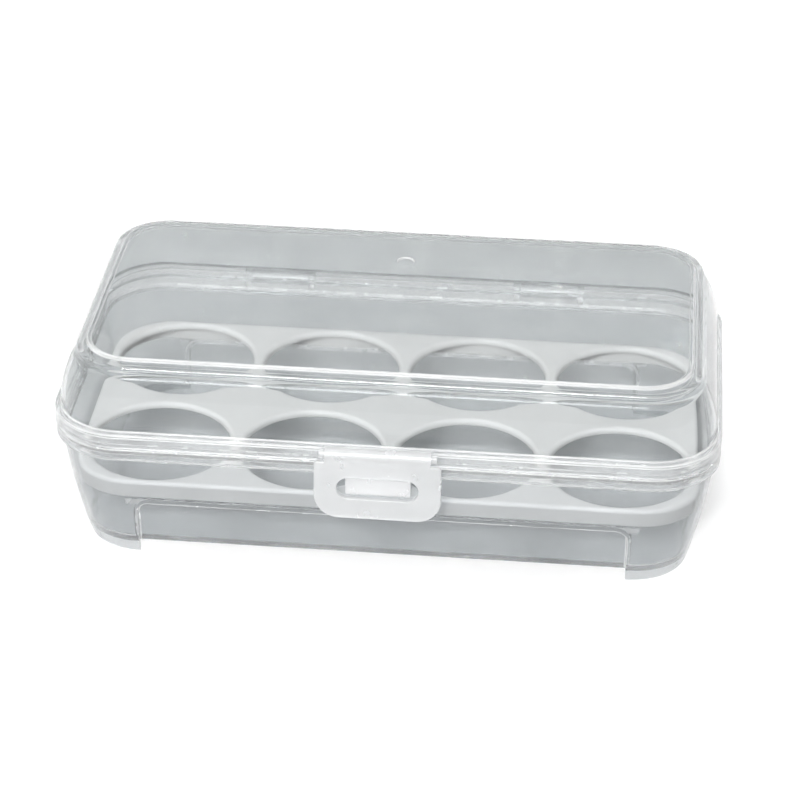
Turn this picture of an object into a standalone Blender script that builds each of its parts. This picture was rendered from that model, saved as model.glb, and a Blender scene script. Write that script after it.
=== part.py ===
"""Egg storage box: a frosted base on corner feet, a clear domed lid that clips onto
the base at the back, a white tray with two rows of round egg holes that rests on the
shelves of the base, and a milky front buckle that clips onto a rod on the lid.

Metres, +Z up. X runs along the box, the buckle is on the -Y side, and the feet stand
at Z = 0 under the middle of the box.
"""
import math

import bmesh
import bpy
from mathutils import Matrix, Vector

# Steps of the round forms
CORNER_STEPS = 9
HOLE_STEPS = 40
WALL_STEPS = 6
FILLET_STEPS = 3
ARC_STEP_ANGLE = math.radians(20)

# Clearance between pieces that touch, and the overrun of every cutter
CLEARANCE = 0.0003
OVERRUN = 0.002

# Egg tray: the holes set the size of the whole box
COLUMNS = 4
ROWS = 2
HOLE_RADIUS = 0.0236
HOLE_ROUNDING = 0.0016
COLUMN_WEB = 0.00405
ROW_WEB = 0.0073
TRAY_END_MARGIN = 0.003325
TRAY_SIDE_MARGIN = 0.00275
TRAY_RADIUS = 0.0205
TRAY_HEIGHT = 0.0063
TRAY_PLATE = 0.0020
TRAY_SKIRT = 0.0014
TRAY_ROUNDING = 0.0015
TRAY_DRAFT = 0.0005

# Base, drawn in towards the feet
BASE_WALL = 0.0015
BASE_WALL_CURVE = 1.5
TRAY_GAP_ENDS = 0.0005
TRAY_GAP_SIDES = 0.00075
BASE_DRAW_ENDS = 0.0068
BASE_DRAW_SIDES = 0.0042
BASE_CORNER_STEP = 0.0010
BASE_CORNER_DRAW = 0.0020
FLOOR_Z = 0.0037
FLOOR_THICKNESS = 0.0016
FLOOR_ROUNDING = 0.0015

# Rim, where base and lid meet
RIM_ABOVE_TRAY = 0.0153
RIM_HEIGHT = 0.0042
RIM_STEP_ENDS = 0.0019
RIM_STEP_SIDES = 0.0031
RIM_CORNER_STEP = 0.0015
TONGUE_HEIGHT = 0.0015
TONGUE_THICKNESS = 0.0007
EDGE_ROUNDING = 0.0004

# Recessed panels between the feet, and the shelves that they make inside
WINDOW_SIDE_SHARE = 0.80
WINDOW_END_SHARE = 0.5725
WINDOW_HEIGHT = 0.0164
WINDOW_DEPTH = 0.0021
WINDOW_RADIUS = 0.0040
SHELF_THICKNESS = 0.0014

# Lid, drawn in towards the top
LID_WALL = 0.0014
LID_WALL_CURVE = 2.0
LID_FLANGE_HEIGHT = 0.0050
LID_STEP_ENDS = 0.0016
LID_STEP_SIDES = 0.0026
LID_CORNER_STEP = 0.0010
LID_DOME_HEIGHT = 0.02145
LID_DRAW_ENDS = 0.0060
LID_DRAW_SIDES = 0.0046
LID_CORNER_DRAW = 0.0040
LID_TOP_ROUNDING = 0.0015
LEDGE_ENDS = 0.0030
LEDGE_SIDES = 0.0041
PANEL_CORNER_STEP = 0.0024
PANEL_HEIGHT = 0.00115
PANEL_ROUNDING = 0.0006
DIMPLE_RADIUS = 0.0031
DIMPLE_DEPTH = 0.0005
DIMPLE_EDGE_DISTANCE = 0.0205

# Snap hinges: a moulded rod in an open barrel
ROD_RADIUS = 0.0013
BARREL_RADIUS = 0.0027
ROD_STEPS = 16
MOUTH_HALF_ANGLE = math.radians(38)

# Rear hinges
HINGE_SPREAD_SHARE = 0.44
HINGE_BARREL_LENGTH = 0.0200
HINGE_EAR_THICKNESS = 0.0022
REAR_MOUTH_ANGLE = math.radians(-50)
EAR_FOOT_ANGLE = math.radians(-75)

# Front buckle, placed from its axis
BUCKLE_AXIS_DROP = 0.0002
BUCKLE_BARREL_LENGTH = 0.0340
BUCKLE_EAR_RADIUS = 0.00145
BUCKLE_EAR_THICKNESS = 0.0017
BUCKLE_EAR_ROOT = 0.0030
EAR_TOP_ANGLE = math.radians(100)
EAR_UNDER_ANGLE = math.radians(-110)
PLATE_SIDE_MARGIN = 0.0035
PLATE_REACH = 0.0224
PLATE_THICKNESS = 0.0018
PLATE_SHOULDER_DROP = 0.0016
PLATE_TOP_RADIUS = 0.0014
PLATE_BOTTOM_RADIUS = 0.0080
PLATE_ROUNDING = 0.0004
SLOT_DROP = 0.0111
SLOT_HEIGHT = 0.0078
SLOT_END_MARGIN = 0.0073

# Catch lug on the base, behind the slot
LUG_END_GAP = 0.0027
LUG_ROUNDING = 0.0006

# Heights worked out from the sizes above
WINDOW_TOP_Z = FLOOR_Z + WINDOW_HEIGHT
SHELF_TOP_Z = WINDOW_TOP_Z + SHELF_THICKNESS
TRAY_BOTTOM_Z = SHELF_TOP_Z + CLEARANCE
TRAY_TOP_Z = TRAY_BOTTOM_Z + TRAY_HEIGHT
BASE_RIM_TOP_Z = TRAY_TOP_Z + RIM_ABOVE_TRAY
BASE_WALL_TOP_Z = BASE_RIM_TOP_Z - RIM_HEIGHT
LID_BOTTOM_Z = BASE_RIM_TOP_Z + CLEARANCE
LID_FLANGE_TOP_Z = LID_BOTTOM_Z + LID_FLANGE_HEIGHT
LID_TOP_Z = LID_FLANGE_TOP_Z + LID_DOME_HEIGHT
BUCKLE_AXIS_Z = LID_FLANGE_TOP_Z - BUCKLE_AXIS_DROP
REAR_AXIS_Z = BASE_RIM_TOP_Z + CLEARANCE / 2
SLOT_CENTRE_Z = BUCKLE_AXIS_Z - SLOT_DROP

# Half lengths, half widths and corner radii, worked out from the tray outwards
HOLE_PITCH = 2 * HOLE_RADIUS + COLUMN_WEB
ROW_PITCH = 2 * HOLE_RADIUS + ROW_WEB
TRAY_HALF_X = (COLUMNS - 1) * HOLE_PITCH / 2 + HOLE_RADIUS + TRAY_END_MARGIN
TRAY_HALF_Y = (ROWS - 1) * ROW_PITCH / 2 + HOLE_RADIUS + TRAY_SIDE_MARGIN
DRAW_SHARE_AT_TRAY = (1 - TRAY_BOTTOM_Z / BASE_WALL_TOP_Z) ** BASE_WALL_CURVE
BASE_HALF_X = TRAY_HALF_X - TRAY_DRAFT + TRAY_GAP_ENDS + BASE_WALL + BASE_DRAW_ENDS * DRAW_SHARE_AT_TRAY
BASE_HALF_Y = TRAY_HALF_Y - TRAY_DRAFT + TRAY_GAP_SIDES + BASE_WALL + BASE_DRAW_SIDES * DRAW_SHARE_AT_TRAY
BASE_RADIUS = TRAY_RADIUS + BASE_CORNER_STEP
RIM_HALF_X = BASE_HALF_X + RIM_STEP_ENDS
RIM_HALF_Y = BASE_HALF_Y + RIM_STEP_SIDES
RIM_RADIUS = BASE_RADIUS + RIM_CORNER_STEP
LID_HALF_X = RIM_HALF_X - LID_STEP_ENDS
LID_HALF_Y = RIM_HALF_Y - LID_STEP_SIDES
LID_RADIUS = RIM_RADIUS - LID_CORNER_STEP
PANEL_HALF_X = LID_HALF_X - LID_DRAW_ENDS - LEDGE_ENDS
PANEL_HALF_Y = LID_HALF_Y - LID_DRAW_SIDES - LEDGE_SIDES
PANEL_RADIUS = LID_RADIUS - LID_CORNER_DRAW - PANEL_CORNER_STEP

# Other places worked out from the sizes above
AXIS_Y = RIM_HALF_Y + CLEARANCE + BARREL_RADIUS
BORE_RADIUS = ROD_RADIUS + CLEARANCE
LIP_THICKNESS = LID_WALL + CLEARANCE + TONGUE_THICKNESS
EMBED = LID_WALL / 2
PLATE_HALF = BUCKLE_BARREL_LENGTH / 2 + PLATE_SIDE_MARGIN
SLOT_HALF = PLATE_HALF - SLOT_END_MARGIN
LUG_HALF = SLOT_HALF - LUG_END_GAP


def ring(half_x, half_y, radius, z):
    """Rounded rectangle, anticlockwise seen from above."""
    points = []
    for corner, (side_x, side_y) in enumerate(((1, 1), (-1, 1), (-1, -1), (1, -1))):
        for step in range(CORNER_STEPS + 1):
            angle = math.pi / 2 * (corner + step / CORNER_STEPS)
            x = side_x * (half_x - radius) + radius * math.cos(angle)
            y = side_y * (half_y - radius) + radius * math.sin(angle)
            points.append(Vector((x, y, z)))
    return points


def circle(centre_x, centre_y, radius, z, steps):
    """Circle, anticlockwise seen from above."""
    angles = [2 * math.pi * step / steps for step in range(steps)]
    return [Vector((centre_x + radius * math.cos(a), centre_y + radius * math.sin(a), z)) for a in angles]


def arc(radius, start, end, centre=(0, 0)):
    """Points of an arc from one angle to the other, both ends included."""
    steps = max(1, round(abs(end - start) / ARC_STEP_ANGLE))
    angles = [start + (end - start) * step / steps for step in range(steps + 1)]
    return [(centre[0] + radius * math.cos(a), centre[1] + radius * math.sin(a)) for a in angles]


def mix(low, high, share):
    return low + (high - low) * share


def add_loft(bm, rings):
    """One closed body through rings of equal count, capped at both ends."""
    rows = [[bm.verts.new(point) for point in points] for points in rings]
    count = len(rows[0])
    for lower, upper in zip(rows, rows[1:]):
        for i in range(count):
            j = (i + 1) % count
            bm.faces.new((lower[i], lower[j], upper[j], upper[i]))
    bm.faces.new(list(reversed(rows[0])))
    bm.faces.new(rows[-1])


def make_object(name, bodies, smooth_angle=math.radians(35)):
    """Object of one or more closed bodies, each given as its rings."""
    bm = bmesh.new()
    for rings in bodies:
        add_loft(bm, rings)
    mesh = bpy.data.meshes.new(name)
    bm.to_mesh(mesh)
    bm.free()
    mesh.shade_smooth()
    mesh.set_sharp_from_angle(angle=smooth_angle)
    obj = bpy.data.objects.new(name, mesh)
    bpy.context.scene.collection.objects.link(obj)
    return obj


def along_x(profile, low, high):
    """Rings of a (y, z) profile extruded along X."""
    area = sum(a[0] * b[1] - b[0] * a[1] for a, b in zip(profile, profile[1:] + profile[:1]))
    points = profile if area > 0 else list(reversed(profile))
    return [[Vector((x, y, z)) for y, z in points] for x in (low, high)]


def combine(obj, tool, operation):
    """Boolean with a tool object that is itself no piece of the box."""
    tool.hide_render = True
    tool.display_type = "WIRE"
    modifier = obj.modifiers.new(tool.name, "BOOLEAN")
    modifier.operation = operation
    modifier.solver = "EXACT"
    modifier.object = tool


def set_origin(obj, point):
    """Put the object's origin on its joint axis and leave its shape where it is."""
    obj.data.transform(Matrix.Translation(-Vector(point)))
    obj.location = point


def plastic(name, colour, roughness, transmission):
    material = bpy.data.materials.new(name)
    material.use_nodes = True
    shader = material.node_tree.nodes["Principled BSDF"]
    shader.inputs["Base Color"].default_value = (*colour, 1)
    shader.inputs["Roughness"].default_value = roughness
    shader.inputs["Metallic"].default_value = 0
    shader.inputs["Transmission Weight"].default_value = transmission
    shader.inputs["IOR"].default_value = 1.49
    return material


def base_outline(z):
    """Half length, half width and corner radius of the base wall's outside."""
    share = max(0, 1 - z / BASE_WALL_TOP_Z) ** BASE_WALL_CURVE
    return (BASE_HALF_X - BASE_DRAW_ENDS * share, BASE_HALF_Y - BASE_DRAW_SIDES * share,
            BASE_RADIUS - BASE_CORNER_DRAW * share)


def base_ring(z, inset):
    half_x, half_y, radius = base_outline(z)
    return ring(half_x - inset, half_y - inset, radius - inset, z)


def rim_ring(inset, z):
    return ring(RIM_HALF_X - inset, RIM_HALF_Y - inset, RIM_RADIUS - inset, z)


def base_shell():
    """Open tray with a raised floor, a foot skirt all round and the lower half of the rim."""
    floor_top = FLOOR_Z + FLOOR_THICKNESS
    ledge = BASE_WALL_TOP_Z + BASE_WALL
    levels = [mix(0, BASE_WALL_TOP_Z, step / WALL_STEPS) for step in range(1, WALL_STEPS + 1)]
    inner_low = floor_top + FLOOR_ROUNDING
    inner_levels = [mix(ledge, inner_low, step / WALL_STEPS) for step in range(WALL_STEPS + 1)]
    rings = [base_ring(FLOOR_Z, BASE_WALL), base_ring(0, BASE_WALL), base_ring(0, EDGE_ROUNDING)]
    rings.append(base_ring(EDGE_ROUNDING, 0))
    rings += [base_ring(z, 0) for z in levels]
    rings.append(rim_ring(EDGE_ROUNDING, BASE_WALL_TOP_Z))
    rings.append(rim_ring(0, BASE_WALL_TOP_Z + EDGE_ROUNDING))
    rings.append(rim_ring(0, BASE_RIM_TOP_Z - EDGE_ROUNDING))
    rings.append(rim_ring(EDGE_ROUNDING, BASE_RIM_TOP_Z))
    rings.append(rim_ring(LID_WALL + CLEARANCE, BASE_RIM_TOP_Z))
    rings.append(rim_ring(LID_WALL + CLEARANCE, BASE_RIM_TOP_Z + TONGUE_HEIGHT))
    rings.append(rim_ring(LIP_THICKNESS, BASE_RIM_TOP_Z + TONGUE_HEIGHT))
    rings.append(rim_ring(LIP_THICKNESS, ledge))
    rings += [base_ring(z, BASE_WALL) for z in inner_levels]
    rings.append(base_ring(floor_top, BASE_WALL + FLOOR_ROUNDING))
    return rings


def window_outline(half_length, low, high, radius):
    """(along, z) outline with its two top corners rounded, anticlockwise seen from outside."""
    corner = half_length - radius
    right = arc(radius, 0, math.pi / 2, (corner, high - radius))
    left = arc(radius, math.pi / 2, math.pi, (-corner, high - radius))
    return [(-half_length, low), (half_length, low)] + right + left


def wall_reach(side, z):
    """Distance of the base wall's outside from the middle, on one of the four sides."""
    half_x, half_y, _ = base_outline(z)
    return half_y if side % 2 == 0 else half_x


def panel_reach(side, z):
    """Distance of the recessed panel's flat outer face from the middle."""
    low = wall_reach(side, FLOOR_Z)
    high = wall_reach(side, WINDOW_TOP_Z)
    return mix(low, high, (z - FLOOR_Z) / (WINDOW_TOP_Z - FLOOR_Z)) - WINDOW_DEPTH


def side_rings(side, outline, inner, outer):
    """Rings of a block on one side: 0 front, 1 right, 2 back, 3 left."""
    turn = Matrix.Rotation(side * math.pi / 2, 3, "Z")
    return [[turn @ Vector((along, -reach(z), z)) for along, z in outline] for reach in (inner, outer)]


def window_half_length(side):
    """Share of the foot's outline: long recesses at the front and back, short ones at the ends."""
    half_x, half_y, _ = base_outline(0)
    return half_x * WINDOW_SIDE_SHARE if side % 2 == 0 else half_y * WINDOW_END_SHARE


def window_panels():
    """The four inward blocks that carry the recessed panels and, on top, the tray's shelves."""
    bodies = []
    for side in range(4):
        outline = window_outline(window_half_length(side) + SHELF_THICKNESS, FLOOR_Z + FLOOR_THICKNESS / 2,
                                 SHELF_TOP_Z, WINDOW_RADIUS + SHELF_THICKNESS)
        bodies.append(side_rings(side, outline,
                                 lambda z, side=side: panel_reach(side, z) - BASE_WALL,
                                 lambda z, side=side: panel_reach(side, z) + WINDOW_DEPTH - BASE_WALL / 2))
    return bodies


def window_pockets():
    """What the recesses take away, down past the feet."""
    bodies = []
    for side in range(4):
        outline = window_outline(window_half_length(side), -OVERRUN, WINDOW_TOP_Z, WINDOW_RADIUS)
        bodies.append(side_rings(side, outline,
                                 lambda z, side=side: panel_reach(side, z),
                                 lambda z, side=side: wall_reach(side, BASE_WALL_TOP_Z) + OVERRUN))
    return bodies


def at_axis(profile, side, axis_z):
    """Turn (outward, up) points about a hinge axis into (y, z); side is 1 for rear, -1 for front."""
    return [(side * (AXIS_Y + out), axis_z + up) for out, up in profile]


def catch_lug():
    """Block that shows through the buckle's slot; its face ends just behind the buckle."""
    high = SLOT_CENTRE_Z + SLOT_HEIGHT / 2 - CLEARANCE
    low = SLOT_CENTRE_Z - SLOT_HEIGHT / 2 + CLEARANCE
    face = AXIS_Y + BARREL_RADIUS - PLATE_THICKNESS - CLEARANCE
    root = base_outline(low)[1] - BASE_WALL / 2
    profile = [(-root, low), (-root, high), (LUG_ROUNDING - face, high), (-face, high - LUG_ROUNDING),
               (-face, low + LUG_ROUNDING), (LUG_ROUNDING - face, low)]
    return [along_x(profile, -LUG_HALF, LUG_HALF)]


def hinge_places():
    return (-RIM_HALF_X * HINGE_SPREAD_SHARE, RIM_HALF_X * HINGE_SPREAD_SHARE)


def rear_ears():
    """Two ears at each rear hinge, which hold the base's rods."""
    reach = CLEARANCE + BARREL_RADIUS + EMBED
    root_top = BASE_RIM_TOP_Z - EDGE_ROUNDING - REAR_AXIS_Z
    root_bottom = BASE_WALL_TOP_Z + EDGE_ROUNDING - REAR_AXIS_Z
    start = math.pi - math.asin(root_top / BARREL_RADIUS)
    profile = [(-reach, root_top)] + arc(BARREL_RADIUS, start, 0)
    profile += arc(BARREL_RADIUS, 0, EAR_FOOT_ANGLE)[1:] + [(-reach, root_bottom)]
    profile = at_axis(profile, 1, REAR_AXIS_Z)
    bodies = []
    for centre in hinge_places():
        inner = HINGE_BARREL_LENGTH / 2 + CLEARANCE
        outer = inner + HINGE_EAR_THICKNESS
        bodies.append(along_x(profile, centre - outer, centre - inner))
        bodies.append(along_x(profile, centre + inner, centre + outer))
    return bodies


def rod(centre_x, half_length, y, z):
    angles = [2 * math.pi * step / ROD_STEPS for step in range(ROD_STEPS)]
    profile = [(y + ROD_RADIUS * math.cos(a), z + ROD_RADIUS * math.sin(a)) for a in angles]
    return along_x(profile, centre_x - half_length, centre_x + half_length)


def rear_rods():
    half_length = HINGE_BARREL_LENGTH / 2 + CLEARANCE + HINGE_EAR_THICKNESS / 2
    return [rod(centre, half_length, AXIS_Y, REAR_AXIS_Z) for centre in hinge_places()]


def make_base(material):
    base = make_object("base", [base_shell()])
    base.data.materials.append(material)
    combine(base, make_object("window_panel_blocks", window_panels()), "UNION")
    combine(base, make_object("window_pocket_cutter", window_pockets()), "DIFFERENCE")
    combine(base, make_object("catch_lug_block", catch_lug()), "UNION")
    combine(base, make_object("rear_ear_blocks", rear_ears()), "UNION")
    combine(base, make_object("rear_rod_blocks", rear_rods()), "UNION")
    return base


def lid_outline(z):
    """Half length, half width and corner radius of the lid wall's outside."""
    top = LID_TOP_Z - LID_TOP_ROUNDING
    share = ((z - LID_FLANGE_TOP_Z) / (top - LID_FLANGE_TOP_Z)) ** LID_WALL_CURVE
    return (LID_HALF_X - LID_DRAW_ENDS * share, LID_HALF_Y - LID_DRAW_SIDES * share,
            LID_RADIUS - LID_CORNER_DRAW * share)


def lid_ring(z, inset, at_z=None):
    half_x, half_y, radius = lid_outline(z if at_z is None else at_z)
    return ring(half_x - inset, half_y - inset, radius - inset, z)


def panel_ring(inset, z):
    return ring(PANEL_HALF_X - inset, PANEL_HALF_Y - inset, PANEL_RADIUS - inset, z)


def lid_shell():
    """Domed wall, band, shoulder, ledge and raised stacking panel, of one wall thickness."""
    wall_top = LID_TOP_Z - LID_TOP_ROUNDING
    levels = [mix(LID_FLANGE_TOP_Z, wall_top, step / WALL_STEPS) for step in range(WALL_STEPS + 1)]
    fillet = [math.pi / 2 * step / FILLET_STEPS for step in range(1, FILLET_STEPS + 1)]
    panel_top = LID_TOP_Z + PANEL_HEIGHT
    skirt_ceiling = LID_FLANGE_TOP_Z - LID_WALL
    rings = [panel_ring(LID_WALL, panel_top - LID_WALL), panel_ring(LID_WALL, LID_TOP_Z - LID_WALL)]
    rings.append(lid_ring(LID_TOP_Z - LID_WALL, LID_WALL, wall_top))
    rings += [lid_ring(z, LID_WALL) for z in reversed(levels[1:-1])]
    rings.append(lid_ring(skirt_ceiling, LID_WALL, LID_FLANGE_TOP_Z))
    rings.append(rim_ring(LID_WALL, skirt_ceiling))
    rings.append(rim_ring(LID_WALL, LID_BOTTOM_Z))
    rings.append(rim_ring(EDGE_ROUNDING, LID_BOTTOM_Z))
    rings.append(rim_ring(0, LID_BOTTOM_Z + EDGE_ROUNDING))
    rings.append(rim_ring(0, LID_FLANGE_TOP_Z - EDGE_ROUNDING))
    rings.append(rim_ring(EDGE_ROUNDING, LID_FLANGE_TOP_Z))
    rings += [lid_ring(z, 0) for z in levels]
    for angle in fillet:
        inset = LID_TOP_ROUNDING * (1 - math.cos(angle))
        rings.append(lid_ring(wall_top + LID_TOP_ROUNDING * math.sin(angle), inset, wall_top))
    rings.append(panel_ring(-PANEL_ROUNDING, LID_TOP_Z))
    rings.append(panel_ring(0, LID_TOP_Z + PANEL_ROUNDING / 2))
    rings.append(panel_ring(0, panel_top - PANEL_ROUNDING))
    rings.append(panel_ring(PANEL_ROUNDING, panel_top))
    return rings


def rear_hooks():
    """Open barrels on the lid that snap over the base's rods."""
    reach = CLEARANCE + BARREL_RADIUS + EMBED
    root_low = LID_BOTTOM_Z + EDGE_ROUNDING - REAR_AXIS_Z
    upper_lip = REAR_MOUTH_ANGLE + MOUTH_HALF_ANGLE
    lower_lip = REAR_MOUTH_ANGLE - MOUTH_HALF_ANGLE + 2 * math.pi
    end = math.pi - math.asin(root_low / BARREL_RADIUS)
    profile = [(-reach, BARREL_RADIUS)] + arc(BARREL_RADIUS, math.pi / 2, upper_lip)
    profile += arc(BORE_RADIUS, upper_lip, lower_lip) + arc(BARREL_RADIUS, lower_lip, end)
    profile.append((-reach, root_low))
    profile = at_axis(profile, 1, REAR_AXIS_Z)
    half = HINGE_BARREL_LENGTH / 2
    return [along_x(profile, centre - half, centre + half) for centre in hinge_places()]


def buckle_ears():
    """Two small ears on the lid's front band, which hold the buckle's rod."""
    reach = CLEARANCE + BARREL_RADIUS + EMBED
    root_top = LID_FLANGE_TOP_Z - EDGE_ROUNDING - BUCKLE_AXIS_Z
    profile = arc(BUCKLE_EAR_RADIUS, EAR_TOP_ANGLE, EAR_UNDER_ANGLE)
    profile += [(-reach, root_top - BUCKLE_EAR_ROOT), (-reach, root_top)]
    profile = at_axis(profile, -1, BUCKLE_AXIS_Z)
    inner = BUCKLE_BARREL_LENGTH / 2 + CLEARANCE
    outer = inner + BUCKLE_EAR_THICKNESS
    return [along_x(profile, -outer, -inner), along_x(profile, inner, outer)]


def buckle_rod():
    half_length = BUCKLE_BARREL_LENGTH / 2 + CLEARANCE + BUCKLE_EAR_THICKNESS / 2
    return [rod(0, half_length, -AXIS_Y, BUCKLE_AXIS_Z)]


def gate_dimple():
    """Small round recess that the moulding gate leaves on the panel."""
    top = LID_TOP_Z + PANEL_HEIGHT
    y = PANEL_HALF_Y - DIMPLE_EDGE_DISTANCE
    steps = HOLE_STEPS // 2
    return [[circle(0, y, DIMPLE_RADIUS, z, steps) for z in (top - DIMPLE_DEPTH, top + OVERRUN)]]


def make_lid(material):
    lid = make_object("lid", [lid_shell()])
    lid.data.materials.append(material)
    combine(lid, make_object("gate_dimple_cutter", gate_dimple()), "DIFFERENCE")
    combine(lid, make_object("rear_hook_blocks", rear_hooks()), "UNION")
    combine(lid, make_object("buckle_ear_blocks", buckle_ears()), "UNION")
    combine(lid, make_object("buckle_rod_block", buckle_rod()), "UNION")
    set_origin(lid, (0, AXIS_Y, REAR_AXIS_Z))
    return lid


def tray_ring(inset, z):
    """Outline of the tray, drawn in a little towards the bottom of its skirt."""
    draft = TRAY_DRAFT * (TRAY_TOP_Z - z) / TRAY_HEIGHT
    return ring(TRAY_HALF_X - draft - inset, TRAY_HALF_Y - draft - inset, TRAY_RADIUS - draft - inset, z)


def tray_body():
    shoulder = TRAY_TOP_Z - TRAY_ROUNDING
    rings = [tray_ring(0, TRAY_BOTTOM_Z), tray_ring(0, shoulder)]
    for step in range(1, FILLET_STEPS + 1):
        angle = math.pi / 2 * step / FILLET_STEPS
        inset = TRAY_ROUNDING * (1 - math.cos(angle))
        rings.append(tray_ring(inset, shoulder + TRAY_ROUNDING * math.sin(angle)))
    return [rings]


def tray_underside():
    """What is taken away under the plate, inside the skirt."""
    low = TRAY_BOTTOM_Z - OVERRUN
    return [[tray_ring(TRAY_SKIRT, low), tray_ring(TRAY_SKIRT, TRAY_TOP_Z - TRAY_PLATE)]]


def egg_holes():
    """Round holes with a rounded upper edge, in columns and rows about the middle."""
    bodies = []
    for column in range(COLUMNS):
        for row in range(ROWS):
            x = (column - (COLUMNS - 1) / 2) * HOLE_PITCH
            y = (row - (ROWS - 1) / 2) * ROW_PITCH
            start = TRAY_TOP_Z - HOLE_ROUNDING
            rings = [circle(x, y, HOLE_RADIUS, TRAY_TOP_Z - TRAY_PLATE - OVERRUN, HOLE_STEPS)]
            for step in range(FILLET_STEPS + 1):
                angle = math.pi / 2 * step / FILLET_STEPS
                radius = HOLE_RADIUS + HOLE_ROUNDING * (1 - math.cos(angle))
                rings.append(circle(x, y, radius, start + HOLE_ROUNDING * math.sin(angle), HOLE_STEPS))
            rings.append(circle(x, y, HOLE_RADIUS + HOLE_ROUNDING, TRAY_TOP_Z + OVERRUN, HOLE_STEPS))
            bodies.append(rings)
    return bodies


def make_tray(material):
    tray = make_object("egg_tray", tray_body())
    tray.data.materials.append(material)
    combine(tray, make_object("tray_underside_cutter", tray_underside()), "DIFFERENCE")
    combine(tray, make_object("egg_hole_cutter", egg_holes()), "DIFFERENCE")
    return tray


def plate_ring(inset, y):
    """Outline of the buckle plate: small top corners, large bottom ones, seen from the front."""
    half = PLATE_HALF - inset
    high = BUCKLE_AXIS_Z - PLATE_SHOULDER_DROP - inset
    low = BUCKLE_AXIS_Z - PLATE_REACH + inset
    top = PLATE_TOP_RADIUS - inset
    bottom = PLATE_BOTTOM_RADIUS - inset
    quarter = math.pi / 2
    points = arc(bottom, -2 * quarter, -quarter, (bottom - half, low + bottom))
    points += arc(bottom, -quarter, 0, (half - bottom, low + bottom))
    points += arc(top, 0, quarter, (half - top, high - top))
    points += arc(top, quarter, 2 * quarter, (top - half, high - top))
    return [Vector((x, y, z)) for x, z in points]


def buckle_plate():
    front = -(AXIS_Y + BARREL_RADIUS)
    back = front + PLATE_THICKNESS
    return [[plate_ring(PLATE_ROUNDING, back), plate_ring(0, back - PLATE_ROUNDING),
             plate_ring(0, front + PLATE_ROUNDING), plate_ring(PLATE_ROUNDING, front)]]


def buckle_barrel():
    """Open barrel that snaps over the lid's rod, run down into the plate."""
    inner = BARREL_RADIUS - PLATE_THICKNESS
    low = -math.sqrt(BARREL_RADIUS ** 2 - inner ** 2)
    lip = math.pi - MOUTH_HALF_ANGLE
    profile = arc(BARREL_RADIUS, lip, 0) + [(BARREL_RADIUS, low)]
    profile += arc(BARREL_RADIUS, math.atan2(low, inner), -lip) + arc(BORE_RADIUS, -lip, lip)
    profile = at_axis(profile, -1, BUCKLE_AXIS_Z)
    return [along_x(profile, -BUCKLE_BARREL_LENGTH / 2, BUCKLE_BARREL_LENGTH / 2)]


def slot_cutter():
    radius = SLOT_HEIGHT / 2
    middle = SLOT_HALF - radius
    quarter = math.pi / 2
    outline = arc(radius, -quarter, quarter, (middle, SLOT_CENTRE_Z))
    outline += arc(radius, quarter, 3 * quarter, (-middle, SLOT_CENTRE_Z))
    front = -(AXIS_Y + BARREL_RADIUS)
    return [[[Vector((x, y, z)) for x, z in outline]
             for y in (front + PLATE_THICKNESS + OVERRUN, front - OVERRUN)]]


def make_buckle(material):
    buckle = make_object("buckle", buckle_plate())
    buckle.data.materials.append(material)
    combine(buckle, make_object("buckle_barrel_block", buckle_barrel()), "UNION")
    combine(buckle, make_object("slot_cutter", slot_cutter()), "DIFFERENCE")
    set_origin(buckle, (0, -AXIS_Y, BUCKLE_AXIS_Z))
    return buckle


def main():
    for obj in list(bpy.data.objects):
        bpy.data.objects.remove(obj, do_unlink=True)
    make_base(plastic("frosted_plastic", (0.80, 0.84, 0.85), 0.30, 0.8))
    lid = make_lid(plastic("clear_plastic", (0.88, 0.92, 0.92), 0.08, 0.9))
    make_tray(plastic("white_plastic", (0.92, 0.92, 0.91), 0.35, 0.0))
    buckle = make_buckle(plastic("milky_plastic", (0.90, 0.92, 0.93), 0.30, 0.5))
    bpy.context.view_layer.update()
    buckle.parent = lid
    buckle.matrix_parent_inverse = lid.matrix_world.inverted()


main()
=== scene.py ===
"""Egg storage box: clear domed lid, frosted base on corner feet, white egg tray and a
milky front buckle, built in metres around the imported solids.
"""

import math

import bmesh
import bpy
from mathutils import Matrix, Vector


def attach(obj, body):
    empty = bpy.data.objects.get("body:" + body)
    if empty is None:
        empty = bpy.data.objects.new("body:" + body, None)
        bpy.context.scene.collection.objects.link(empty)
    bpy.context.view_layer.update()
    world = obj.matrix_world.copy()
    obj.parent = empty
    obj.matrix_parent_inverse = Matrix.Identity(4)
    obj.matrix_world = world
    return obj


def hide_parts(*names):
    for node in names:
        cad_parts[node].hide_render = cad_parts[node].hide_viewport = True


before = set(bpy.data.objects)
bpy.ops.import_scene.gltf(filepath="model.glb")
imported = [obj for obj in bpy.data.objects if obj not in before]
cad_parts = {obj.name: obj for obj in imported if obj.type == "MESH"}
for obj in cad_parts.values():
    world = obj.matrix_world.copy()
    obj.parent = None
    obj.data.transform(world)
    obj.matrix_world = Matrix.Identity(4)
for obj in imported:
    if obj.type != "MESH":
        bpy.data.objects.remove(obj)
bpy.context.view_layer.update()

# Steps of the round forms
CORNER_STEPS = 22
HOLE_STEPS = 96
WALL_STEPS = 16
BAR_FILLET_STEPS = 2
SMALL_FILLET_STEPS = 3
FILLET_STEPS = 5
BIG_FILLET_STEPS = 7
HOLE_FILLET_STEPS = 8
ROD_STEPS = 40
ARC_STEP_ANGLE = math.radians(7)
SHARP_ANGLE = math.radians(32)

# Running gap between pieces, and how far a cutter stands out
CLEARANCE = 0.0003
OVERRUN = 0.002

# Rim
RIM_LENGTH = 0.218422
RIM_WIDTH = 0.119384
RIM_RADIUS = 0.023
EDGE_ROUNDING = 0.0004

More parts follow.
